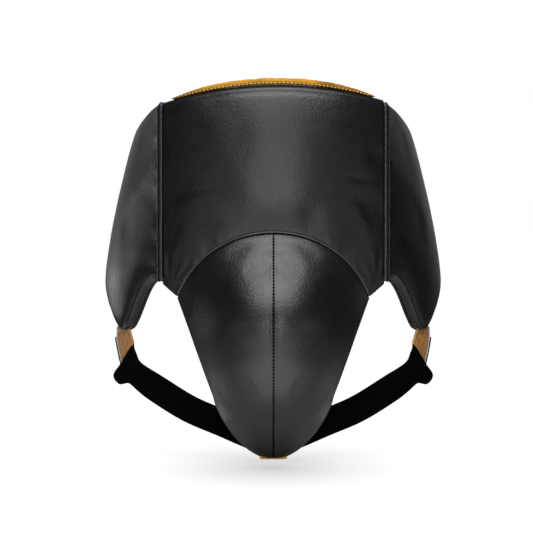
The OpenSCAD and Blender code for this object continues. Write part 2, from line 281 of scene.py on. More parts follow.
def piece(name, mesh, material, slot, body=None, nodes=()):
    verts, faces = mesh
    data = bpy.data.meshes.new(name)
    data.from_pydata((np.asarray(verts) * 0.001).tolist(), [], [list(f) for f in faces])
    data.validate()
    data.polygons.foreach_set("use_smooth", [True] * len(data.polygons))
    data.materials.append(material)
    obj = bpy.data.objects.new(name, data)
    bpy.context.collection.objects.link(obj)
    if nodes:
        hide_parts(*nodes)
    if body:
        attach(obj, body)
    return obj


CLOTH_FRAMES, CAGE_STEP = 20, 3


def slackened(front, cap):
    """The front of a pad as cloth under light pressure, sewn down along its border, moved by less than cap"""
    picks = [np.unique(np.append(np.arange(0, n, CAGE_STEP), n - 1)) for n in front.shape[:2]]
    cage = front[np.ix_(*picks)] * 0.001
    ids = np.arange(cage[..., 0].size).reshape(cage.shape[:2])
    data = bpy.data.meshes.new("cage")
    data.from_pydata(cage.reshape(-1, 3).tolist(), [], grid_faces(ids).tolist())
    obj = bpy.data.objects.new("cage", data)
    bpy.context.collection.objects.link(obj)
    sewn = np.concatenate([ids[:2].ravel(), ids[-2:].ravel(), ids[:, :2].ravel(), ids[:, -2:].ravel()])
    obj.vertex_groups.new(name="sewn").add(sewn.tolist(), 1.0, "REPLACE")
    cloth = obj.modifiers.new("cloth", "CLOTH")
    cloth.settings.quality = 6
    cloth.settings.mass = 0.3
    cloth.settings.bending_stiffness = 6
    cloth.settings.shrink_min = -0.003
    cloth.settings.use_pressure = True
    cloth.settings.uniform_pressure_force = 0.4
    cloth.settings.vertex_group_mass = "sewn"
    cloth.settings.effector_weights.gravity = 0
    cloth.point_cache.frame_end = CLOTH_FRAMES
    for step in range(1, CLOTH_FRAMES + 1):
        bpy.context.scene.frame_set(step)
    done = obj.evaluated_get(bpy.context.evaluated_depsgraph_get()).data
    after = np.empty(len(data.vertices) * 3, np.float32)
    done.vertices.foreach_get("co", after)
    bpy.context.scene.frame_set(1)
    bpy.data.objects.remove(obj)
    move = (after.reshape(cage.shape) - cage) * 1000
    far = np.linalg.norm(move, axis=-1, keepdims=True)
    move = move * np.tanh(far / cap) * cap / np.maximum(far, 1e-6)
    rows = np.stack([np.interp(np.arange(front.shape[0]), picks[0], move[:, j, i])
                     for j in range(move.shape[1]) for i in range(3)], -1).reshape(front.shape[0], -1, 3)
    full = np.stack([np.interp(np.arange(front.shape[1]), picks[1], rows[k, :, i])
                     for k in range(front.shape[0]) for i in range(3)], -1)
    full = full.reshape(front.shape[1], front.shape[0], 3).transpose(1, 0, 2)
    for _ in range(3):
        beside = full[:-2, 1:-1] + full[2:, 1:-1] + full[1:-1, :-2] + full[1:-1, 2:]
        full[1:-1, 1:-1] = (full[1:-1, 1:-1] * 2 + beside) / 6
    return front + full


def lengths(path):
    return np.concatenate([[0], np.cumsum(np.linalg.norm(np.diff(path, axis=0), axis=1))])


def resample(path, pitch, *others):
    """Even steps along a path, and other arrays read at the same places"""
    run = lengths(path)
    count = max(2, int(run[-1] / pitch))
    at = (np.arange(count) + 0.5) * run[-1] / count
    read = [np.stack([np.interp(at, run, a[:, i]) for i in range(3)], axis=1) for a in (path,) + others]
    ahead = np.stack([np.interp(at + 0.4, run, path[:, i]) for i in range(3)], axis=1)
    behind = np.stack([np.interp(at - 0.4, run, path[:, i]) for i in range(3)], axis=1)
    return read, unit(ahead - behind)


STITCH_ALONG = np.array([-0.5, -0.36, 0.0, 0.36, 0.5])
STITCH_WIDE = np.array([0.4, 0.86, 1.0, 0.86, 0.4])
STITCH_LIFT = np.array([-0.9, -0.2, 0.25, -0.2, -0.9])


def stitch_row(path, out, pitch, length, radius, lift=0.0):
    """Threads sewn along a path, each one a short strand that dips in at its ends"""
    (at, up), along = resample(path, pitch, out)
    up = unit(up - along * np.sum(up * along, axis=1, keepdims=True))
    side = np.cross(up, along)
    around = np.linspace(0, 2 * math.pi, 6, endpoint=False)
    meshes = []
    for p, a, s, o in zip(at, along, side, up):
        centre = p + STITCH_ALONG[:, None] * length * a + (STITCH_LIFT * radius + lift)[:, None] * o
        ring = np.cos(around)[:, None] * s + 0.8 * np.sin(around)[:, None] * o
        meshes.append(tube_mesh(centre[:, None] + (radius * STITCH_WIDE)[:, None, None] * ring))
    return join(meshes)


# Materials

def link(tree, start, end):
    tree.links.new(start, end)


def add(tree, kind, **values):
    made = tree.nodes.new(kind)
    for key, value in values.items():
        made.inputs[key.replace("_", " ")].default_value = value
    return made


def ramp(tree, source, stops):
    made = tree.nodes.new("ShaderNodeValToRGB")
    points = made.color_ramp.elements
    while len(points) < len(stops):
        points.new(0.5)
    for point, (place, colour) in zip(points, stops):
        point.position = place
        point.color = (*colour, 1) if len(colour) == 3 else (colour[0],) * 3 + (1,)
    link(tree, source, made.inputs["Fac"])
    return made.outputs["Color"]


def spread(tree, source, low, high):
    made = add(tree, "ShaderNodeMapRange", To_Min=low, To_Max=high)
    link(tree, source, made.inputs["Value"])
    return made.outputs["Result"]


def bumped(tree, shader, layers):
    """Bump layers as (height, strength, distance in metres), one through the next"""
    normal = None
    for height, strength, distance in layers:
        made = add(tree, "ShaderNodeBump", Strength=strength, Distance=distance)
        link(tree, height, made.inputs["Height"])
        if normal:
            link(tree, normal, made.inputs["Normal"])
        normal = made.outputs["Normal"]
    link(tree, normal, shader.inputs["Normal"])


def blank(name):
    material = bpy.data.materials.new(name)
    material.use_nodes = True
    tree = material.node_tree
    shader = tree.nodes["Principled BSDF"]
    place = tree.nodes.new("ShaderNodeTexCoord").outputs["Object"]
    return material, tree, shader, place


def noise(tree, place, scale, detail=3.0):
    made = add(tree, "ShaderNodeTexNoise", Scale=scale, Detail=detail, Roughness=0.55)
    link(tree, place, made.inputs["Vector"])
    return made.outputs["Fac"]


def cells(tree, place, scale):
    made = add(tree, "ShaderNodeTexVoronoi", Scale=scale)
    link(tree, place, made.inputs["Vector"])
    return made.outputs["Distance"]


def leather(name, dark, light, rough, grain=0.09, shine=0.5):
    """Clouded leather with soft waves, pores and a fine grain"""
    material, tree, shader, place = blank(name)
    cloud = noise(tree, place, 38)
    link(tree, ramp(tree, cloud, [(0.32, dark), (0.7, light)]), shader.inputs["Base Color"])
    worn = noise(tree, place, 90, 4)
    link(tree, spread(tree, worn, rough - 0.06, rough + 0.07), shader.inputs["Roughness"])
    shader.inputs["Specular IOR Level"].default_value = shine
    bumped(tree, shader, [
        (noise(tree, place, 150, 3), 0.14, 0.0006),
        (noise(tree, place, 430, 2), grain * 4.0, 0.0004),
        (cells(tree, place, 780), grain, 0.0003),
        (noise(tree, place, 2400, 2), grain * 0.7, 0.0002),
    ])
    return material


def elastic(name, dark, light, ribs):
    """Woven elastic: ribs along the strap and a finer weave across it"""
    material, tree, shader, place = blank(name)
    flat = tree.nodes.new("ShaderNodeTexCoord").outputs["UV"]
    made = []
    for axis, scale in (("X", ribs), ("Y", ribs * 0.55)):
        wave = add(tree, "ShaderNodeTexWave", Scale=scale, Distortion=0.6, Detail=1.0)
        wave.bands_direction = axis
        link(tree, flat, wave.inputs["Vector"])
        made.append(wave.outputs["Fac"])
    yarn = noise(tree, place, 160, 4)
    link(tree, ramp(tree, yarn, [(0.3, dark), (0.75, light)]), shader.inputs["Base Color"])
    shader.inputs["Roughness"].default_value = 0.82
    shader.inputs["Specular IOR Level"].default_value = 0.02
    bumped(tree, shader, [(made[0], 0.5, 0.0003), (made[1], 0.4, 0.0002)])
    return material


def fuzz(name, dark, light, scale, depth):
    """Hook or loop tape"""
    material, tree, shader, place = blank(name)
    tufts = cells(tree, place, scale)
    link(tree, ramp(tree, tufts, [(0.1, light), (0.6, dark)]), shader.inputs["Base Color"])
    shader.inputs["Roughness"].default_value = 0.9
    shader.inputs["Sheen Weight"].default_value = 0.1
    bumped(tree, shader, [(tufts, 0.9, depth), (noise(tree, place, scale * 3, 3), 0.5, depth / 2)])
    return material


def thread(name, dark, light, shine=0.3):
    material, tree, shader, place = blank(name)
    strands = noise(tree, place, 900, 3)
    link(tree, ramp(tree, strands, [(0.3, dark), (0.7, light)]), shader.inputs["Base Color"])
    shader.inputs["Roughness"].default_value = 0.6
    shader.inputs["Specular IOR Level"].default_value = shine
    bumped(tree, shader, [(noise(tree, place, 3500, 2), 0.5, 0.0002)])
    return material


def plastic(name, dark, light):
    material, tree, shader, place = blank(name)
    cloud = noise(tree, place, 30, 3)
    link(tree, ramp(tree, cloud, [(0.3, dark), (0.7, light)]), shader.inputs["Base Color"])
    shader.inputs["Roughness"].default_value = 0.5
    bumped(tree, shader, [(noise(tree, place, 600, 3), 0.1, 0.0002)])
    return material


BLACK = leather("black_leather", (0.0014, 0.0014, 0.0016), (0.0028, 0.0028, 0.0031), 0.39, 0.13)
# Lighter copy of the black leather for the arch welt's folded lip: its raised base colour paints the light
# line the lip catches, a painted highlight
FOLD_PAINTED_LIGHT = leather("black_fold_painted_highlight", (0.016, 0.016, 0.016), (0.034, 0.034, 0.034), 0.42)
WALL = leather("black_gusset", (0.003, 0.003, 0.0032), (0.006, 0.006, 0.0063), 0.38, 0.14)
GOLD = leather("gold_leather", (0.16, 0.055, 0.002), (0.44, 0.21, 0.006), 0.55, 0.3, 0.15)
# Brightened copy of the gold leather for the crotch tab: painted light that makes up for the cup's shade over
# it
GOLD_PAINTED_LIGHT = leather("gold_leather_painted_light", (0.80, 0.42, 0.010), (0.92, 0.55, 0.020), 0.5, 0.3, 0.2)
LINING = leather("gold_lining", (0.55, 0.26, 0.018), (0.72, 0.37, 0.030), 0.5, 0.25)
TAN = leather("tan_leather", (0.25, 0.114, 0.027), (0.34, 0.166, 0.044), 0.5, 0.3)
PALE = leather("pale_edge", (0.26, 0.255, 0.25), (0.36, 0.355, 0.35), 0.6)
ELASTIC = elastic("elastic", (0.0006, 0.0006, 0.0008), (0.0013, 0.0013, 0.0016), 900)
HOOK = fuzz("hook_tape", (0.006, 0.006, 0.006), (0.03, 0.03, 0.03), 900, 0.0008)
LOOP = fuzz("loop_tape", (0.008, 0.008, 0.008), (0.025, 0.025, 0.025), 1500, 0.0006)
DARK_THREAD = thread("black_thread", (0.001, 0.001, 0.001), (0.004, 0.004, 0.004), 0.02)
CREAM_THREAD = thread("cream_thread", (0.50, 0.34, 0.13), (0.66, 0.48, 0.22))
BROWN_THREAD = thread("brown_thread", (0.09, 0.034, 0.009), (0.16, 0.064, 0.016))
SHELL = plastic("shell_plastic", (0.50, 0.50, 0.48), (0.56, 0.56, 0.54))


# Padded pieces

def belly_relief(x, z, above_arch, below_top):
    """Slack and puckers of the belly leather, in millimetres outwards"""
    left_line = z - (-14 + 0.16 * (x + 87) + 0.0009 * (x + 87) ** 2)
    right_line = z - (6.0 - 0.14 * (x - 43))
    sewn = np.clip(1.3 - np.abs(x + 42) / 48, 0, 1)
    fold = sewn * (0.28 * bump(left_line, -8, 7) - 0.34 * bump(left_line, 0, 2.8))
    fold = fold + bump(x, 70, 26) * (0.3 * bump(right_line, -8, 8) - 0.4 * bump(right_line, 0, 3))
    fan = np.hypot(np.abs(x) - 94, z + 99)
    angle = np.arctan2(z + 99, 94 - np.abs(x))
    fold = fold + 0.36 * np.sin(19 * angle + 0.9 * wander(x, z, 30, 5)) * bump(fan, 24, 14) * (fan > 1)
    fold = fold + 0.30 * wander(x, 0.2 * z, 9, 11) * np.exp(-(above_arch / 8) ** 2)
    fold = fold - 0.5 * bump(below_top, 7, 2.2) * bump(x, 0, 60)
    return fold + 0.28 * wander(x, z, 42, 3)


def belly_depths(q, v):
    flat = panel_pt(q, v, 0 * q)
    tall = panel_pt(q, 1 + 0 * v, 0 * q)[..., 2] - panel_pt(q, 0 * v, 0 * q)[..., 2]
    side, low, high = (1 - np.abs(q)) * HALF, v * tall, (1 - v) * tall
    round_off = edge_round(side, 4.0) * edge_round(low, 0.7) * edge_round(high, 5.0)
    full = CROWN * swell((q + 1) / 2) * swell(v)
    out = full + belly_relief(flat[..., 0], flat[..., 2], low, high)
    return BELLY_EDGE - (BELLY_EDGE + out) * round_off, BELLY_EDGE + (BELLY_BACK + full) * round_off


def belly_pad():
    q, v = np.meshgrid(2 * steps(2 * HALF, 5, 7, 1.7) - 1, steps(140, 6, 7, 1.7), indexing="ij")
    front, back = belly_depths(q, v)
    mesh = pad_mesh(slackened(panel_pt(q, v, front), SLACK["belly"]), panel_pt(q, v, back))
    obj = piece("belly_pad", mesh, BLACK, "black_leather", "front", ("belly_cover", "belly_foam"))


def sheet_mesh(place, us, vs, near, thick, flip):
    """A thin skin, near to near + thick deep, with its border closed"""
    u, v = np.meshgrid(us, vs, indexing="ij")
    depth = near(u, v)
    inner = np.zeros_like(u)
    inner[1:-1, 1:-1] = 1
    middle = depth + thick / 2
    return pad_mesh(place(u, v, middle - thick / 2 * inner), place(u, v, middle + thick / 2 * inner), flip)


def lining(name, mesh, body):
    """A lining sewn tight to the pads: a sheet cut to the area that it covers"""
    obj = piece(name, mesh, LINING, "gold_lining", body, (name,))


def belly_lining():
    us = np.linspace(-0.985, 0.985, 70)
    vs = np.linspace(0.015, 0.985, 50)
    mesh = sheet_mesh(panel_pt, us, vs, lambda q, v: belly_depths(q, v)[1] + LINING_GAP, LINING_T, False)
    lining("belly_lining", mesh, "front")


def wing_relief(t, z, off_seam):
    """Slow waves of the wing's leather, and puckers along its seam, in millimetres outwards"""
    folds = 0.3 * wander(t * WING_LEN, z, 70, 21) + 0.06 * wander(t * WING_LEN, z, 20, 22)
    return folds + 0.30 * wander(0.3 * off_seam, z, 8, 23) * np.exp(-(off_seam / 9) ** 2)


def wing_depths(t, v):
    z = mix(wing_low(t), wing_high(t), v)
    tall = wing_high(t) - wing_low(t)
    seam, rear, low, high = t * WING_LEN, (1 - t) * WING_LEN, v * tall, (1 - v) * tall
    round_off = edge_round(seam, 2.2) * edge_round(rear, 4.0) * edge_round(low, 0.6) * edge_round(high, 6.0)
    full = WING_CROWN * swell(t) * swell(v)
    out = full + wing_relief(t, z, seam) - HEM_DIP * np.clip(1 - low / 10, 0, 1) ** 2
    return WING_MID - (WING_MID + out) * round_off, WING_MID + (WING_BACK + full) * round_off


def wing_pad(name, side):
    ts = WING_START + WING_SPAN * steps(130, 5, 7, 1.9)
    t, v = np.meshgrid(ts, steps(170, 6, 8, 1.9), indexing="ij")
    front, back = wing_depths(t, v)
    mesh = pad_mesh(slackened(wing_pt(t, v, front), SLACK["wing"]), wing_pt(t, v, back))
    obj = piece(name + "_wing_pad", mirror(mesh, side), BLACK, "black_leather", name + "_wing",
                (name + "_wing_cover", name + "_wing_foam"))


def wing_lining(name, side):
    ts, vs = np.linspace(0.012, 0.985, 60), np.linspace(0.012, 0.985, 50)
    mesh = sheet_mesh(wing_pt, ts, vs, lambda t, v: wing_depths(t, v)[1] + LINING_GAP, LINING_T, False)
    lining(name + "_wing_lining", mirror(mesh, side), name + "_wing")


def wing_gusset(name, side):
    """The leather wall round the leg cut, under the wing's lower edge, with its row of stitches"""
    def place(t, w, d):
        wide = mix(GUSSET_IN, WING_EDGE + FIT, w)
        sag = 2.2 * swell(w) ** 0.7 + 0.25 * wander(t * WING_LEN, w * 14, 9, 31) * swell(w)
        return wing_at(t, wing_low(t) + 1.0 - sag - d, wide)
    ts = np.linspace(0.03, WING_START + WING_SPAN, 120)
    mesh = sheet_mesh(place, ts, np.linspace(0, 1, 15), lambda t, w: 0 * t, GUSSET_T, True)
    piece(name + "_wing_gusset", mirror(mesh, side), WALL, "black_leather", name + "_wing",
          (name + "_wing_gusset",))
    t = np.linspace(0.03, 0.42, 120)
    path, deeper = place(t, 0.68 + 0 * t, GUSSET_T), place(t, 0.71 + 0 * t, GUSSET_T)
    out = unit(np.cross(np.gradient(path, axis=0), deeper - path))
    mesh = stitch_row(path, -out * np.sign(out[:, 2:3]), 3.0, 2.0, 0.5, 0.1)
    piece(name + "_gusset_stitches", mirror(mesh, side), DARK_THREAD, "black_leather", name + "_wing")


def cup_relief(u, z, off_seam, under_arch):
    """The lip beside the centre seam, pulled in by its stitches, and faint creases"""
    lip = 0.30 * bump(off_seam, 1.9, 1.0)
    lip = lip + 0.10 * np.cos(2 * math.pi * z / CUP_PITCH) * bump(off_seam, 1.5, 1.0)
    crease = 0.05 * wander(1.2 * off_seam, z, 9, 41) * bump(off_seam, 6, 6)
    crease = crease - 0.2 * bump(under_arch, 8, 2.6) * bump(off_seam, 24, 14)
    return lip + crease + 0.25 * wander(u * 60, z, 36, 42) * np.clip(off_seam / 12, 0, 1)


def cup_depths(u, v):
    z = mix(arch_z(u) - FIT, TIP + 1, v)
    tall = arch_z(u) - TIP
    half = cup_half(z)
    seam, rim, high, low = u * half, (1 - u) * half, v * tall, (1 - v) * tall
    round_off = edge_round(rim, 1.1) * edge_round(high, 1.2) * edge_round(low, 2.0)
    valley = edge_round(seam, 1.2)
    edge = mix(1.0, CUP_EDGE, np.clip(rim / 14, 0, 1))
    front = edge - (edge + cup_relief(u, z, seam, high) - 0.3 * (1 - valley)) * round_off
    return front, edge + (CUP_FOAM - edge) * round_off * edge_round(seam, 1.0)


def cup_pad(name, side):
    rows = 1.0 - steps(80, 3, 7, 1.1)[::-1]
    beside_seam = np.array([0, 0.35, 0.7, 1.05, 1.4, 1.75, 2.1, 2.5, 2.9, 3.4]) / 80
    us = np.concatenate([beside_seam, rows[rows > 0.048]])
    u, v = np.meshgrid(us, steps(185, 3, 6, 1.3), indexing="ij")
    front, back = cup_depths(u, v)
    mesh = pad_mesh(slackened(cup_pt(u * RIM, v, front), SLACK["cup"]), cup_pt(u * RIM, v, back), True)
    nodes = ("cup_cover_" + name,) + (("cup_foam",) if side > 0 else ())
    piece("cup_pad_" + name, mirror(mesh, side), BLACK, "black_leather", "front", nodes)


def cup_lining():
    us, vs = np.linspace(-1, 1, 90), np.linspace(0, 1, 90)
    mesh = sheet_mesh(cup_pt, us, vs, lambda u, v: CUP_LINED + (TIP_DROP + 1.5) * v ** 3, LINING_T, True)
    lining("cup_lining", mesh, "front")


# Trim: binding, welts and threads

def roll_mesh(path, wide, tall, sides=12, flip=False):
    """A roll with an oval section along a path"""
    a = np.linspace(0, 2 * math.pi, sides, endpoint=False)
    c, n = np.cos(a)[None, :, None], np.sin(a)[None, :, None]
    return tube_mesh(path[:, None] + c * wide[:, None] + n * tall[:, None], flip)


def top_binding():
    q = np.linspace(-0.9, 0.9, 240)
    one = np.ones_like(q)
    tall = mix(0.5, 2.9, 1 - (np.abs(q) / 0.9) ** 4)
    tall = tall * (1 + 0.05 * wander(q * HALF, 0 * q, 12, 51) + 0.04 * wander(q * HALF, 0 * q, 4, 52))
    core = panel_pt(q, one, 5 * one)
    deep = (core - panel_pt(q, one, 0 * one)) * 0.96
    path = core + stack(0 * q, 0 * q, tall + 0.1)
    piece("top_binding", roll_mesh(path, deep, stack(0 * q, 0 * q, tall), 20), GOLD, "gold_leather", "front",
          ("top_binding",))
    forward = unit(-deep)
    sewn = path - deep * 0.86 + stack(0 * q, 0 * q, -0.55 * tall)
    keep = np.abs(q) < 0.86
    mesh = stitch_row(sewn[keep], forward[keep], 3.6, 2.3, 0.5, 0.1)
    piece("binding_stitches", mesh, CREAM_THREAD, "gold_leather", "front")


def side_welt(name, side):
    """The seam's folded lip beside a black groove, its top curled over to the belly"""
    z = np.linspace(-LEG_CUT - APEX + 1, WING_TOP - 0.5, 170)
    one = np.ones_like(z)
    curl = np.clip((z - (WING_TOP - 8)) / 8, 0, 1) ** 2
    waver = 0.18 * wander(z, 0 * z, 35, 61)
    taper = np.sqrt(np.clip(1 - np.abs(2 * (z - z[0]) / (z[-1] - z[0]) - 1) ** 40, 0.02, 1))[:, None]
    core = stack(HALF + 0.6 - 1.5 * curl + waver, SEAM_Y + 0.9 + 0.8 * curl, z)
    wide, tall = stack(2.5 * one, 1.2 * one, 0 * one), stack(-0.5 * one, 1.1 * one, 0 * one)
    mesh = roll_mesh(core, wide * taper, tall * taper, 14)
    piece(name + "_side_welt", mirror(mesh, side), BLACK, "black_leather", "front", (name + "_side_welt",))
    lip = stack(HALF + 2.2 - 3.0 * curl + waver, SEAM_Y - 0.7 + 1.4 * curl, z)
    wide = stack(0.6 * one, 0.3 * one, 0 * one) * (1 + 0.08 * wander(z, 0 * z, 6, 62))[:, None]
    mesh = roll_mesh(lip, wide * taper, stack(-0.6 * one, 1.15 * one, 0 * one) * taper, 14)
    piece(name + "_side_lip", mirror(mesh, side), BLACK, "black_leather", name + "_wing")
    v = np.linspace(0.03, 0.975, 160)
    t = 0.036 + 0 * v
    path = wing_pt(t, v, wing_depths(t, v)[0])
    n = wing_inward(t, path[:, 2])
    mesh = stitch_row(path, -stack(n[:, 0], n[:, 1], 0 * v), 3.1, 2.0, 0.48, 0.1)
    piece(name + "_seam_stitches", mirror(mesh, side), DARK_THREAD, "black_leather", name + "_wing")


def arch_welt():
    u = np.linspace(-1.01, 1.01, 320)
    x = arch_x(u)
    path = stack(x, bow_y(x), arch_z(u)) + 0.9 * np.array([0, -1, 0.6])
    run = unit(np.gradient(path, axis=0))
    out = unit(np.cross(run, np.array([0.0, 0, 1])) + np.array([0, -0.5, 0]))
    up = unit(np.cross(out, run))
    s = lengths(path)
    pinch = (1 + 0.12 * np.cos(2 * math.pi * s / 3.0) + 0.08 * wander(s, 0 * s, 11, 71))[:, None]
    taper = np.sqrt(np.clip(1 - (u / 1.0101) ** 80, 0, 1))[:, None]
    mesh = roll_mesh(path - 2.9 * out, 1.2 * up * pinch * taper, 3.7 * out * taper, 20, True)
    # The folded lip takes the lighter black, whose base colour paints its highlight line
    piece("arch_welt", mesh, FOLD_PAINTED_LIGHT, "black_leather", "front", ("arch_welt",))
    low = path - 1.5 * up - 0.3 * out
    piece("arch_stitches", stitch_row(low, out - up, 3.0, 2.1, 0.42), DARK_THREAD, "black_leather", "front")


def cup_seam():
    v = np.linspace(0.02, 0.985, 260)
    path = cup_pt(0 * v, v, 0.1 + 0 * v)
    run = unit(np.gradient(path, axis=0))
    out = np.cross(np.array([1.0, 0, 0]), run)
    out = out * np.sign(-out[:, 1:2])
    mesh = stitch_row(path, out, CUP_PITCH, 1.8, 1.0, 0.15)
    piece("cup_seam_stitches", mesh, DARK_THREAD, "black_leather", "front")


# Straps, tabs and belt

def through(points, k):
    """Catmull-Rom curve through a list of points"""
    points = np.asarray(points, float)
    last = len(points) - 1
    i = np.clip(np.floor(k).astype(int), 0, last - 1)
    f = (k - i)[:, None]
    p0, p1 = points[np.maximum(i - 1, 0)], points[i]
    p2, p3 = points[i + 1], points[np.minimum(i + 2, last)]
    return p1 + f / 2 * ((p2 - p0) + f * ((2 * p0 - 5 * p1 + 4 * p2 - p3) + f * (3 * (p1 - p2) + p3 - p0)))


TAB_TOP = -LEG_CUT - LOBE_DROP - 1.6 - 3 * FIT
TAB_LEN, TAB_T, STRAP_W, STRAP_T = 34.0, 2.4, 25.0, 2.0
CROTCH_Y = -42.0
CROTCH_BACK = CROTCH_Y + TAB_T + FIT + STRAP_T / 2
CROTCH_MID = TIP + 14.0
_t = np.array([LOBE_T])
_n = wing_inward(_t, np.array([TAB_TOP]))[0]
TAB_MID = wing_at(_t, np.array([-LEG_CUT - LOBE_DROP]), np.array([0.5 * WING_EDGE]))[0]
TAB_TURN = math.atan2(-_n[0], _n[1]) - math.radians(6)
TAB_OUT = np.array([math.sin(TAB_TURN), -math.cos(TAB_TURN), 0])
TAB_ALONG = np.array([math.cos(TAB_TURN), math.sin(TAB_TURN), 0])
TAB_END = np.array([TAB_MID[0], TAB_MID[1], TAB_TOP]) + (TAB_T / 2 + FIT + STRAP_T / 2) * TAB_OUT
DOWN = np.array([0, 0, -1.0])


def band_ring(wide, thick, count=28):
    """Section of a flat band with soft edges: across and through values"""
    a = np.linspace(0, 2 * math.pi, count, endpoint=False)
    across = wide / 2 * np.sign(np.cos(a)) * np.abs(np.cos(a)) ** 0.3
    return across, thick / 2 * np.sign(np.sin(a)) * np.abs(np.sin(a)) ** 0.55


def set_uv(obj, uv):
    layer = obj.data.uv_layers.new(name="flat")
    corner = np.empty(len(obj.data.loops), int)
    obj.data.loops.foreach_get("vertex_index", corner)
    layer.data.foreach_set("uv", np.asarray(uv, np.float32)[corner].ravel())


def leg_strap(name, side):
    """The elastic from its gathered end on the tab, down and in, to the crotch tab"""
    route = [
        TAB_END + 26 * DOWN, TAB_END - 10 * TAB_ALONG + 33 * DOWN,
        TAB_END - 22 * TAB_ALONG + 0.5 * TAB_OUT + 41 * DOWN,
        [103, -41, -191], [76, -40, -207.5], [46, -38, -220.5],
        [24, CROTCH_BACK, CROTCH_MID + 4], [12, CROTCH_BACK, CROTCH_MID], [0.6, CROTCH_BACK, CROTCH_MID],
    ]
    lean = np.array([0, 0, 0.83]) - 0.56 * TAB_ALONG
    loose = [lean, lean, lean, [-0.5, 0, 0.87], [-0.46, 0, 0.89], [-0.4, 0, 0.92], [-0.25, 0, 0.97],
             [0, 0, 1], [0, 0, 1]]
    k = np.linspace(0, len(route) - 1, 150)
    path = through(route, k)
    run = unit(np.gradient(path, axis=0))
    across = through(loose, k)
    across = unit(across - run * np.sum(across * run, axis=1, keepdims=True))
    face = np.cross(run, across)
    w, d = band_ring(STRAP_W, STRAP_T, 48)
    fan = 1 + 0.4 * np.maximum(0, 1 - k / 2.5) ** 1.5
    low = np.clip(w / w.min(), 0, 1)[None]
    turned = 1 - np.sqrt(1 - np.clip(1 - k / 0.75, 0, 1) ** 2)
    wide = w[None] * fan[:, None] + low * (10 * turned - 9 * bump(k, 0.6, 0.6))[:, None]
    rings = path[:, None] + wide[..., None] * across[:, None] + d[None, :, None] * face[:, None]
    down = (w.max() - w) / (w.max() - w.min())
    near = np.clip(1 - k / 1.6, 0, 1)[:, None]
    rings[..., 0] += near * (5 * bump(rings[..., 2], -178, 8.5) - 2 * bump(rings[..., 2], -188, 4))
    rings[..., 0] -= near ** 3 * 3 * np.clip(1 - down / 0.4, 0, 1)[None]
    obj = piece(name + "_leg_strap", mirror(tube_mesh(rings), side), ELASTIC, "elastic", None,
                (name + "_leg_strap",))
    s = lengths(path)
    set_uv(obj, np.stack(np.broadcast_arrays(s[:, None], w[None, :]), -1).reshape(-1, 2) * 0.001)
    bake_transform(obj)


def tab_pt(a, b, d):
    """On the strap tab: a across and b down from its top in millimetres, d outwards from its middle"""
    bend = 0.6 * np.sin(b / TAB_LEN * math.pi)
    base = np.array([TAB_MID[0], TAB_MID[1], TAB_TOP])
    return base + a[..., None] * TAB_ALONG + b[..., None] * DOWN + (d + bend)[..., None] * TAB_OUT


def tab_edge(b):
    """Inner and outer edge of the tab, pulled askew by the strap"""
    inner = mix(-5.0, -12.5, np.clip((b + 1) / 12, 0, 1))
    return inner, mix(13.5, 5.5, np.clip((b - 9) / 24, 0, 1))


def strap_tab(name, side):
    def askew(a, b):
        inner, outer = tab_edge(b)
        return mix(inner, outer, a / STRAP_W + 0.5)
    def place(a, b, d):
        return tab_pt(askew(a, b), b, TAB_T / 2 - d)
    a, b = np.linspace(-STRAP_W / 2, STRAP_W / 2, 22), np.linspace(-3.0, TAB_LEN, 30)
    mesh = sheet_mesh(place, a, b, lambda a, b: 0 * a, TAB_T, True)
    piece(name + "_strap_tab", mirror(mesh, side), TAN, "tan_leather", name + "_wing", (name + "_strap_tab",))
    e = STRAP_W / 2 - 2.2
    box = [(-e, 3), (e, 3), (e, 30), (-e, 30), (-e, 3), (e, 30)], [(-e, 30), (e, 3)]
    rows = []
    for line in box:
        for (a0, b0), (a1, b1) in zip(line, line[1:]):
            s = np.linspace(0, 1, 24)
            path = tab_pt(askew(mix(a0, a1, s), mix(b0, b1, s)), mix(b0, b1, s), TAB_T / 2 + 0 * s)
            rows.append(stitch_row(path, np.tile(TAB_OUT, (24, 1)), 2.6, 2.1, 0.35))
    piece(name + "_tab_stitches", mirror(join(rows), side), BROWN_THREAD, "tan_leather", name + "_wing")
    for part, first, last, off, material, slot in (("_tab_edge", -3, 33, 0.7, PALE, "tan_leather"),
                                                   ("_strap_fold", 7, 38, 2.6, ELASTIC, "elastic")):
        b = np.linspace(first, last, 40)
        path = tab_pt(tab_edge(b)[1] + off, b, 0 * b)
        roll = roll_mesh(path, np.tile(1.4 * TAB_ALONG, (40, 1)), np.tile(1.2 * TAB_OUT, (40, 1)))
        piece(name + part, mirror(roll, side), material, slot, name + "_wing")


def crotch_tab():
    """Gold leather under the cup's tip, turned up behind it; its colour is painted brighter than the
    binding's, standing in for light that the cup's shade keeps off it
    """
    under, front = TIP - 0.8 - FIT, CROTCH_Y - 20
    line = np.array([[front, under - 0.9], [CROTCH_Y - 3, under - 0.9], [CROTCH_Y - 0.2, under - 0.2],
                     [CROTCH_Y + 1.2, under + 3], [CROTCH_Y + 1.2, under + 29]])
    k = np.linspace(0, 4, 40)
    path = through(np.column_stack([0 * line[:, 0], line]), k)
    across = np.array([1.0, 0, 0])
    face = np.cross(unit(np.gradient(path, axis=0)), across)
    w, d = band_ring(STRAP_W, 1.4)
    hem = 1 + np.clip(1.5 - 3 * k, 0, 1)
    rings = path[:, None] + (d[None] * hem[:, None])[..., None] * face[:, None] + w[None, :, None] * across
    piece("crotch_tab", tube_mesh(rings), GOLD_PAINTED_LIGHT, "gold_leather", "front", ("crotch_tab",))


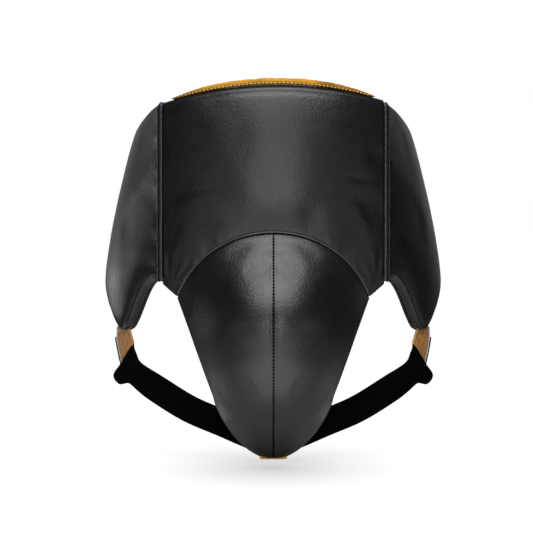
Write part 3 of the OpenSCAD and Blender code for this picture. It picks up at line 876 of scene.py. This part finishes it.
BELT_H, BELT_T, BELT_BACK, BELT_SWEEP, BELT_Z = 60.0, 2.5, 85.0, math.radians(104), -16.0
PATCH_LEN, PATCH_T = 55.0, 1.2
REAR_RUN = math.sin(TURN)
BELT_ROOT = np.array([HALF + float(flare(BELT_Z)) * REAR_RUN - BELT_T / 2, SEAM_Y + WING_LEN, BELT_Z])
BELT_AXIS = unit(np.array([-FLARE_SLOPE * REAR_RUN, 0, 1.0]))
BELT_OPEN = math.radians(-28)
BELT_STEP = BELT_T + 2 * PATCH_T + 4 * FIT
BELT_ARC = BELT_ROOT[0] * BELT_SWEEP


def belt_pt(s, h, d, step):
    """Left belt half, open as it lies at rest"""
    turn, rise = BELT_SWEEP * s, (h - 0.5) * BELT_H
    lean = -FLARE_SLOPE * REAR_RUN * rise * (1 - s) ** 2
    inward = -unit(stack(np.cos(turn) * BELT_BACK, np.sin(turn) * BELT_ROOT[0]))
    out = step * (1 - np.cos(math.pi * np.clip((s - 0.35) / 0.3, 0, 1))) / 2 - d
    p = stack(BELT_ROOT[0] * np.cos(turn) + lean - out * inward[..., 0],
              BELT_ROOT[1] + BELT_BACK * np.sin(turn) - out * inward[..., 1], BELT_Z + rise) - BELT_ROOT
    c, n = math.cos(BELT_OPEN), math.sin(BELT_OPEN)
    turned = p * c + np.cross(BELT_AXIS, p) * n + BELT_AXIS * (p @ BELT_AXIS)[..., None] * (1 - c)
    return turned + BELT_ROOT


def belt_half(name, side, step):
    s = np.concatenate([[-0.012, -0.006, 0.0, 0.012], np.linspace(0.03, 0.985, 110), [0.993, 0.998, 1.0]])
    w, d = band_ring(BELT_H, BELT_T, 60)
    cut = np.where(s > 0.99, np.sqrt(np.clip((1.0 - s) / 0.01, 0.15, 1)), 1)
    thick = (np.clip(0.7 + s * 25, 0.4, 1) * cut)[:, None]
    rings = belt_pt(s[:, None] + 0 * w, 0.5 + w[None] / BELT_H + 0 * s[:, None], d[None] * thick, step)
    obj = piece(name + "_belt", mirror(tube_mesh(rings), side), ELASTIC, "elastic", name + "_belt_half",
                (name + "_belt",))
    set_uv(obj, np.stack(np.broadcast_arrays(s[:, None] * BELT_ARC, w[None]), -1).reshape(-1, 2) * 0.001)


def patch(name, body, side, step, near, material, out):
    """Hook or loop tape sewn to a belt half, with its border stitches"""
    def place(s, h, d):
        return belt_pt(s, h, d, step)
    first, last = 0.975 - PATCH_LEN / BELT_ARC, 0.975
    ss, hs = np.linspace(first, last, 40), np.linspace(0.08, 0.92, 40)
    mesh = sheet_mesh(place, ss, hs, lambda s, h: near + 0 * s, PATCH_T, False)
    piece(name, mirror(mesh, side), material, "hook_and_loop", body, (name,))
    top = near if out < 0 else near + PATCH_T
    s0, s1, h0, h1 = first + 0.008, last - 0.008, 0.11, 0.89
    border = [(s0, h0), (s1, h0), (s1, h1), (s0, h1), (s0, h0)]
    rows = []
    for (s0, h0), (s1, h1) in zip(border, border[1:]):
        k = np.linspace(0, 1, 30)
        path = place(mix(s0, s1, k), mix(h0, h1, k), top + 0 * k)
        face = place(mix(s0, s1, k), mix(h0, h1, k), top + out + 0 * k) - path
        rows.append(stitch_row(path, unit(face), 3.2, 2.4, 0.3))
    piece(name + "_stitches", mirror(join(rows), side), DARK_THREAD, "hook_and_loop", body)


# Floor, light and camera

def white_stage():
    """A pale floor that stays white round the object, with a painted shadow: for the camera its glow dims in
    an oval in front of the tip, and only a faint diffuse part keeps the object's real shadow
    """
    data = bpy.data.meshes.new("floor")
    low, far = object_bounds()[0][2] - 0.0005, 6.0
    corners = [(-far, -far, low), (far, -far, low), (far, far, low), (-far, far, low)]
    data.from_pydata(corners, [], [(0, 1, 2, 3)])
    floor = bpy.data.objects.new("floor", data)
    bpy.context.collection.objects.link(floor)
    material, tree, shader, place = blank("floor_white_painted_shadow")
    shader.inputs["Roughness"].default_value = 0.9
    shader.inputs["Specular IOR Level"].default_value = 0.0
    shader.inputs["Emission Color"].default_value = (1, 1, 1, 1)
    def round_spot(kind, y, wide, long):
        spot = add(tree, "ShaderNodeMapping", Location=(0, -y / long, -low), Scale=(1 / wide, 1 / long, 1))
        link(tree, place, spot.inputs["Vector"])
        ball = tree.nodes.new("ShaderNodeTexGradient")
        ball.gradient_type = kind
        link(tree, spot.outputs["Vector"], ball.inputs["Vector"])
        return ball.outputs["Fac"]
    seen = tree.nodes.new("ShaderNodeLightPath").outputs["Is Camera Ray"]
    sweep = spread(tree, round_spot("SPHERICAL", -0.2, 0.36, 0.8), 0.10, 0.68)
    base = add(tree, "ShaderNodeMapRange", To_Max=0.08)
    link(tree, seen, base.inputs["Value"])
    link(tree, sweep, base.inputs["To Min"])
    link(tree, base.outputs["Result"], shader.inputs["Base Color"])
    # Painted shadow: the glow the camera sees falls from 1 to 0.52 in an oval just in front of the tip
    near = spread(tree, round_spot("QUADRATIC_SPHERE", -0.15, 0.19, 0.42), 1.0, 0.52)
    shown = add(tree, "ShaderNodeMapRange")
    link(tree, seen, shown.inputs["Value"])
    link(tree, near, shown.inputs["To Max"])
    link(tree, shown.outputs["Result"], shader.inputs["Emission Strength"])
    data.materials.append(material)


def studio_world():
    """White behind the object and for the camera, dimmer on the camera's side"""
    world = bpy.data.worlds.new("studio")
    bpy.context.scene.world = world
    world.use_nodes = True
    tree = world.node_tree
    tree.nodes.clear()
    place = tree.nodes.new("ShaderNodeTexCoord").outputs["Generated"]
    split = tree.nodes.new("ShaderNodeSeparateXYZ")
    link(tree, place, split.inputs[0])
    made = add(tree, "ShaderNodeMapRange", From_Min=-1.0, From_Max=1.0)
    link(tree, split.outputs["Y"], made.inputs["Value"])
    room = tree.nodes.new("ShaderNodeBackground")
    link(tree, ramp(tree, made.outputs["Result"], [(0.7, (0.008,)), (0.98, (0.5,))]), room.inputs["Color"])
    white = add(tree, "ShaderNodeBackground", Color=(1, 1, 1, 1), Strength=1.0)
    seen = tree.nodes.new("ShaderNodeLightPath").outputs["Is Camera Ray"]
    both = tree.nodes.new("ShaderNodeMixShader")
    link(tree, seen, both.inputs["Fac"])
    link(tree, room.outputs[0], both.inputs[1])
    link(tree, white.outputs[0], both.inputs[2])
    end = tree.nodes.new("ShaderNodeOutputWorld")
    link(tree, both.outputs[0], end.inputs["Surface"])


def softbox(name, place, aim, wide, tall, power):
    data = bpy.data.lights.new(name, "AREA")
    data.shape = "RECTANGLE"
    data.size, data.size_y, data.energy = wide, tall, power
    lamp = bpy.data.objects.new(name, data)
    bpy.context.collection.objects.link(lamp)
    lamp.location = place
    lamp.visible_camera = False
    lamp.rotation_euler = (Vector(aim) - Vector(place)).to_track_quat("-Z", "Y").to_euler()


def photo_camera():
    data = bpy.data.cameras.new("camera")
    data.sensor_width, data.lens = 36.0, 166.95
    camera = bpy.data.objects.new("camera", data)
    bpy.context.collection.objects.link(camera)
    camera.location = (-0.0062, -2.3, -0.077)
    camera.rotation_euler = (math.pi / 2, 0, 0)
    bpy.context.scene.camera = camera


def dress():
    belly_pad()
    belly_lining()
    top_binding()
    arch_welt()
    for name, side in SIDES.items():
        wing_pad(name, side)
        wing_lining(name, side)
        wing_gusset(name, side)
        side_welt(name, side)
        cup_pad(name, side)
        strap_tab(name, side)
        leg_strap(name, side)
    cup_lining()
    cup_seam()
    crotch_tab()
    belt_half("left", 1.0, BELT_STEP)
    belt_half("right", -1.0, 0.0)
    patch("hook_patch", "left_belt_half", 1.0, BELT_STEP, BELT_T / 2 + FIT, HOOK, 1.0)
    patch("loop_patch", "right_belt_half", -1.0, 0.0, -BELT_T / 2 - FIT - PATCH_T, LOOP, -1.0)
    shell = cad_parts["cup_shell"]
    shell.data.materials.clear()
    shell.data.materials.append(SHELL)


dress()
white_stage()
studio_world()
softbox("top_box", (0.03, -0.95, 1.25), (0, -0.08, -0.08), 1.9, 1.0, 42)
softbox("front_box", (0.12, -2.2, 0.08), (0, -0.08, -0.05), 0.8, 0.5, 2.6)
softbox("high_box", (0, -1.9, 0.75), (0, -0.08, -0.08), 1.3, 0.5, 7.8)
softbox("low_box", (0, -1.9, -0.22), (0, -0.08, -0.08), 0.9, 0.12, 7.9)
softbox("floor_box", (-0.005, -0.3, -0.245), (-0.005, -0.3, 0.0), 0.33, 0.3, 0.45)
softbox("left_floor", (-0.17, -0.01, -0.24), (-0.17, -0.01, 0.0), 0.2, 0.12, 0.05)
softbox("right_floor", (0.17, -0.01, -0.24), (0.17, -0.01, 0.0), 0.2, 0.12, 0.03)
softbox("left_side", (-1.0, -0.85, -0.16), (-0.05, -0.1, -0.08), 0.9, 0.15, 0.8)
softbox("right_side", (1.1, -0.7, -0.16), (0.05, -0.1, -0.08), 0.9, 0.15, 0.82)
softbox("left_box", (-1.25, 0.75, -0.1), (-0.1, 0, -0.1), 0.7, 0.24, 1.9)
softbox("back_box", (0.0, 0.55, 1.5), (0, 0, -0.25), 1.0, 0.6, 5)
photo_camera()
bpy.context.scene.view_settings.view_transform = "Standard"
